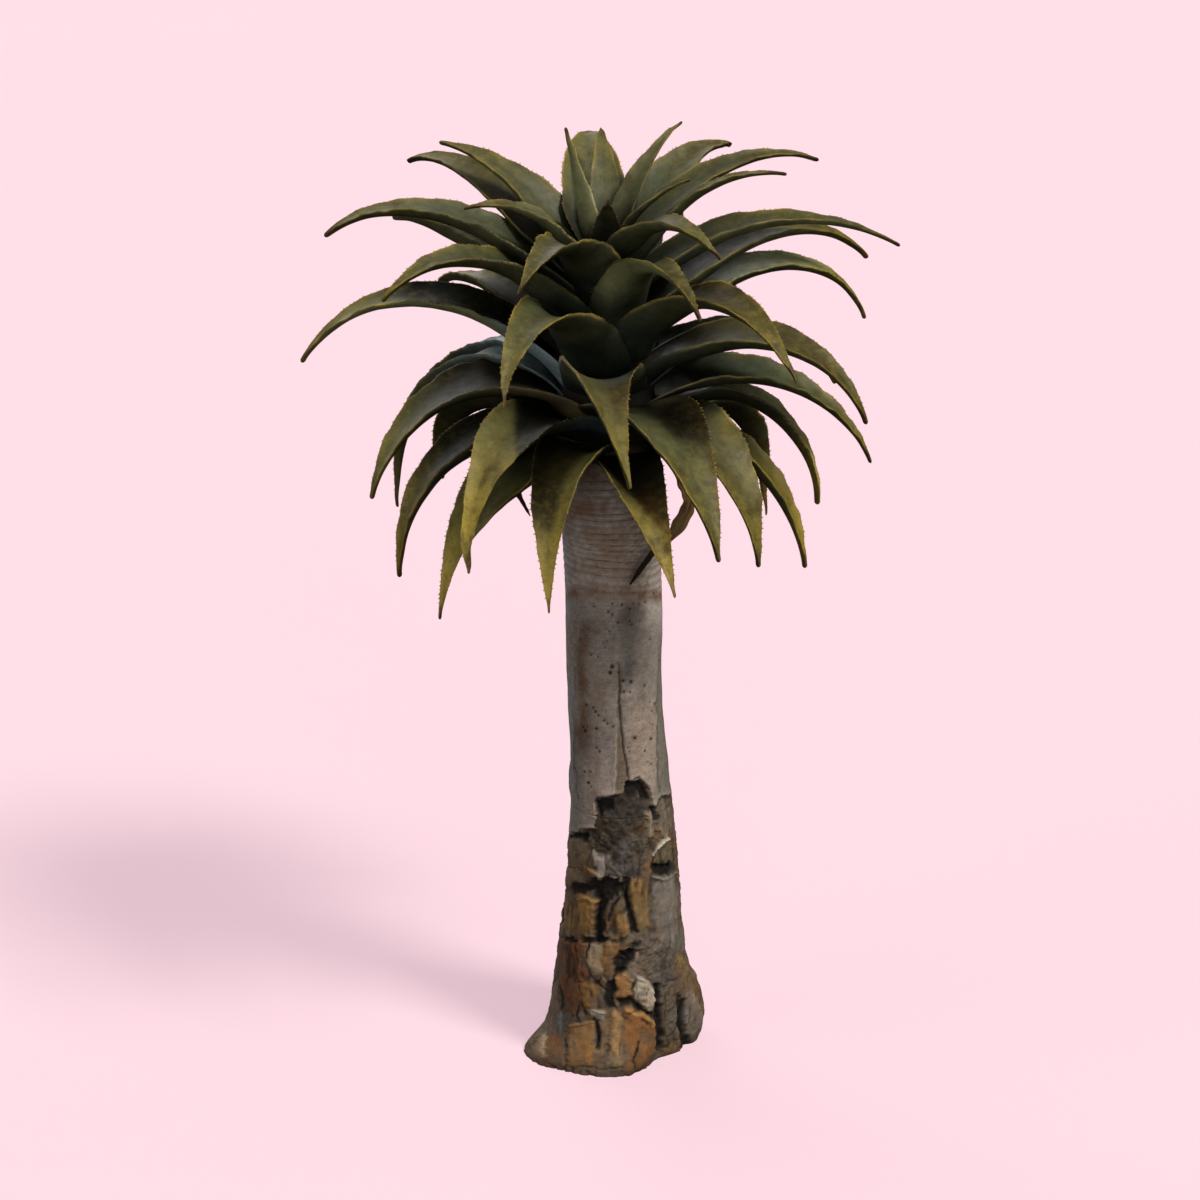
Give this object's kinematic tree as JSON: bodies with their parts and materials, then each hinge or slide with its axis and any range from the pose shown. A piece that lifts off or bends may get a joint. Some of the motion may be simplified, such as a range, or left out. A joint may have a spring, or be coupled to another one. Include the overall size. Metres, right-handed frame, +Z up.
{
  "type": "kokerboom tree",
  "caption": "Young single-stemmed kokerboom rooted in the ground: smooth ringed trunk with a flaking flared foot and one rosette of thick channelled arching leaves.",
  "frame": {"origin": "middle of the trunk's flat cut, on the ground", "axes": "+Z up along the trunk, +X towards the tall right root lobe, -Y towards the side the tree is seen from"},
  "size_m": [0.9864, 0.9263, 1.6439],
  "materials": {
    "bark": "matte grey-beige bark, ochre and dark flaking plates near the ground",
    "leaf_low": "satin olive leaf, yellow-green towards the point",
    "leaf_mid": "satin olive-green leaf with yellow-brown margins",
    "leaf_top": "satin grey-green leaf with yellow-brown margins",
    "dry_leaf": "papery dry beige-brown leaf"
  },
  "bodies": {
    "root": {"trunk": "bark", "leaf_low_01": "leaf_low", "leaf_low_02": "leaf_low", "leaf_low_03": "leaf_low", "leaf_low_04": "leaf_low", "leaf_low_05": "leaf_low", "leaf_low_06": "leaf_low", "leaf_low_07": "leaf_low", "leaf_low_08": "leaf_low", "leaf_low_09": "leaf_low", "leaf_low_10": "leaf_low", "leaf_low_11": "leaf_low", "leaf_low_12": "leaf_low", "leaf_low_13": "leaf_low", "leaf_mid_01": "leaf_mid", "leaf_mid_02": "leaf_mid", "leaf_mid_03": "leaf_mid", "leaf_mid_04": "leaf_mid", "leaf_mid_05": "leaf_mid", "leaf_mid_06": "leaf_mid", "leaf_mid_07": "leaf_mid", "leaf_mid_08": "leaf_mid", "leaf_mid_09": "leaf_mid", "leaf_mid_10": "leaf_mid", "leaf_mid_11": "leaf_mid", "leaf_mid_12": "leaf_mid", "leaf_mid_13": "leaf_mid", "leaf_mid_14": "leaf_mid", "leaf_mid_15": "leaf_mid", "leaf_mid_16": "leaf_mid", "leaf_mid_17": "leaf_mid", "leaf_mid_18": "leaf_mid", "leaf_mid_19": "leaf_mid", "leaf_mid_20": "leaf_mid", "leaf_mid_21": "leaf_mid", "leaf_mid_22": "leaf_mid", "leaf_mid_23": "leaf_mid", "leaf_top_01": "leaf_top", "leaf_top_02": "leaf_top", "leaf_top_03": "leaf_top", "leaf_top_04": "leaf_top", "leaf_top_05": "leaf_top", "leaf_top_06": "leaf_top", "leaf_top_07": "leaf_top", "leaf_top_08": "leaf_top", "leaf_top_09": "leaf_top", "leaf_top_10": "leaf_top", "leaf_top_11": "leaf_top", "leaf_top_12": "leaf_top", "leaf_top_13": "leaf_top", "leaf_top_14": "leaf_top", "leaf_top_15": "leaf_top", "leaf_top_16": "leaf_top", "leaf_top_17": "leaf_top", "leaf_top_18": "leaf_top", "leaf_top_19": "leaf_top", "dry_leaf_right": "dry_leaf", "dry_leaf_left": "dry_leaf"}
  },
  "joints": []
}
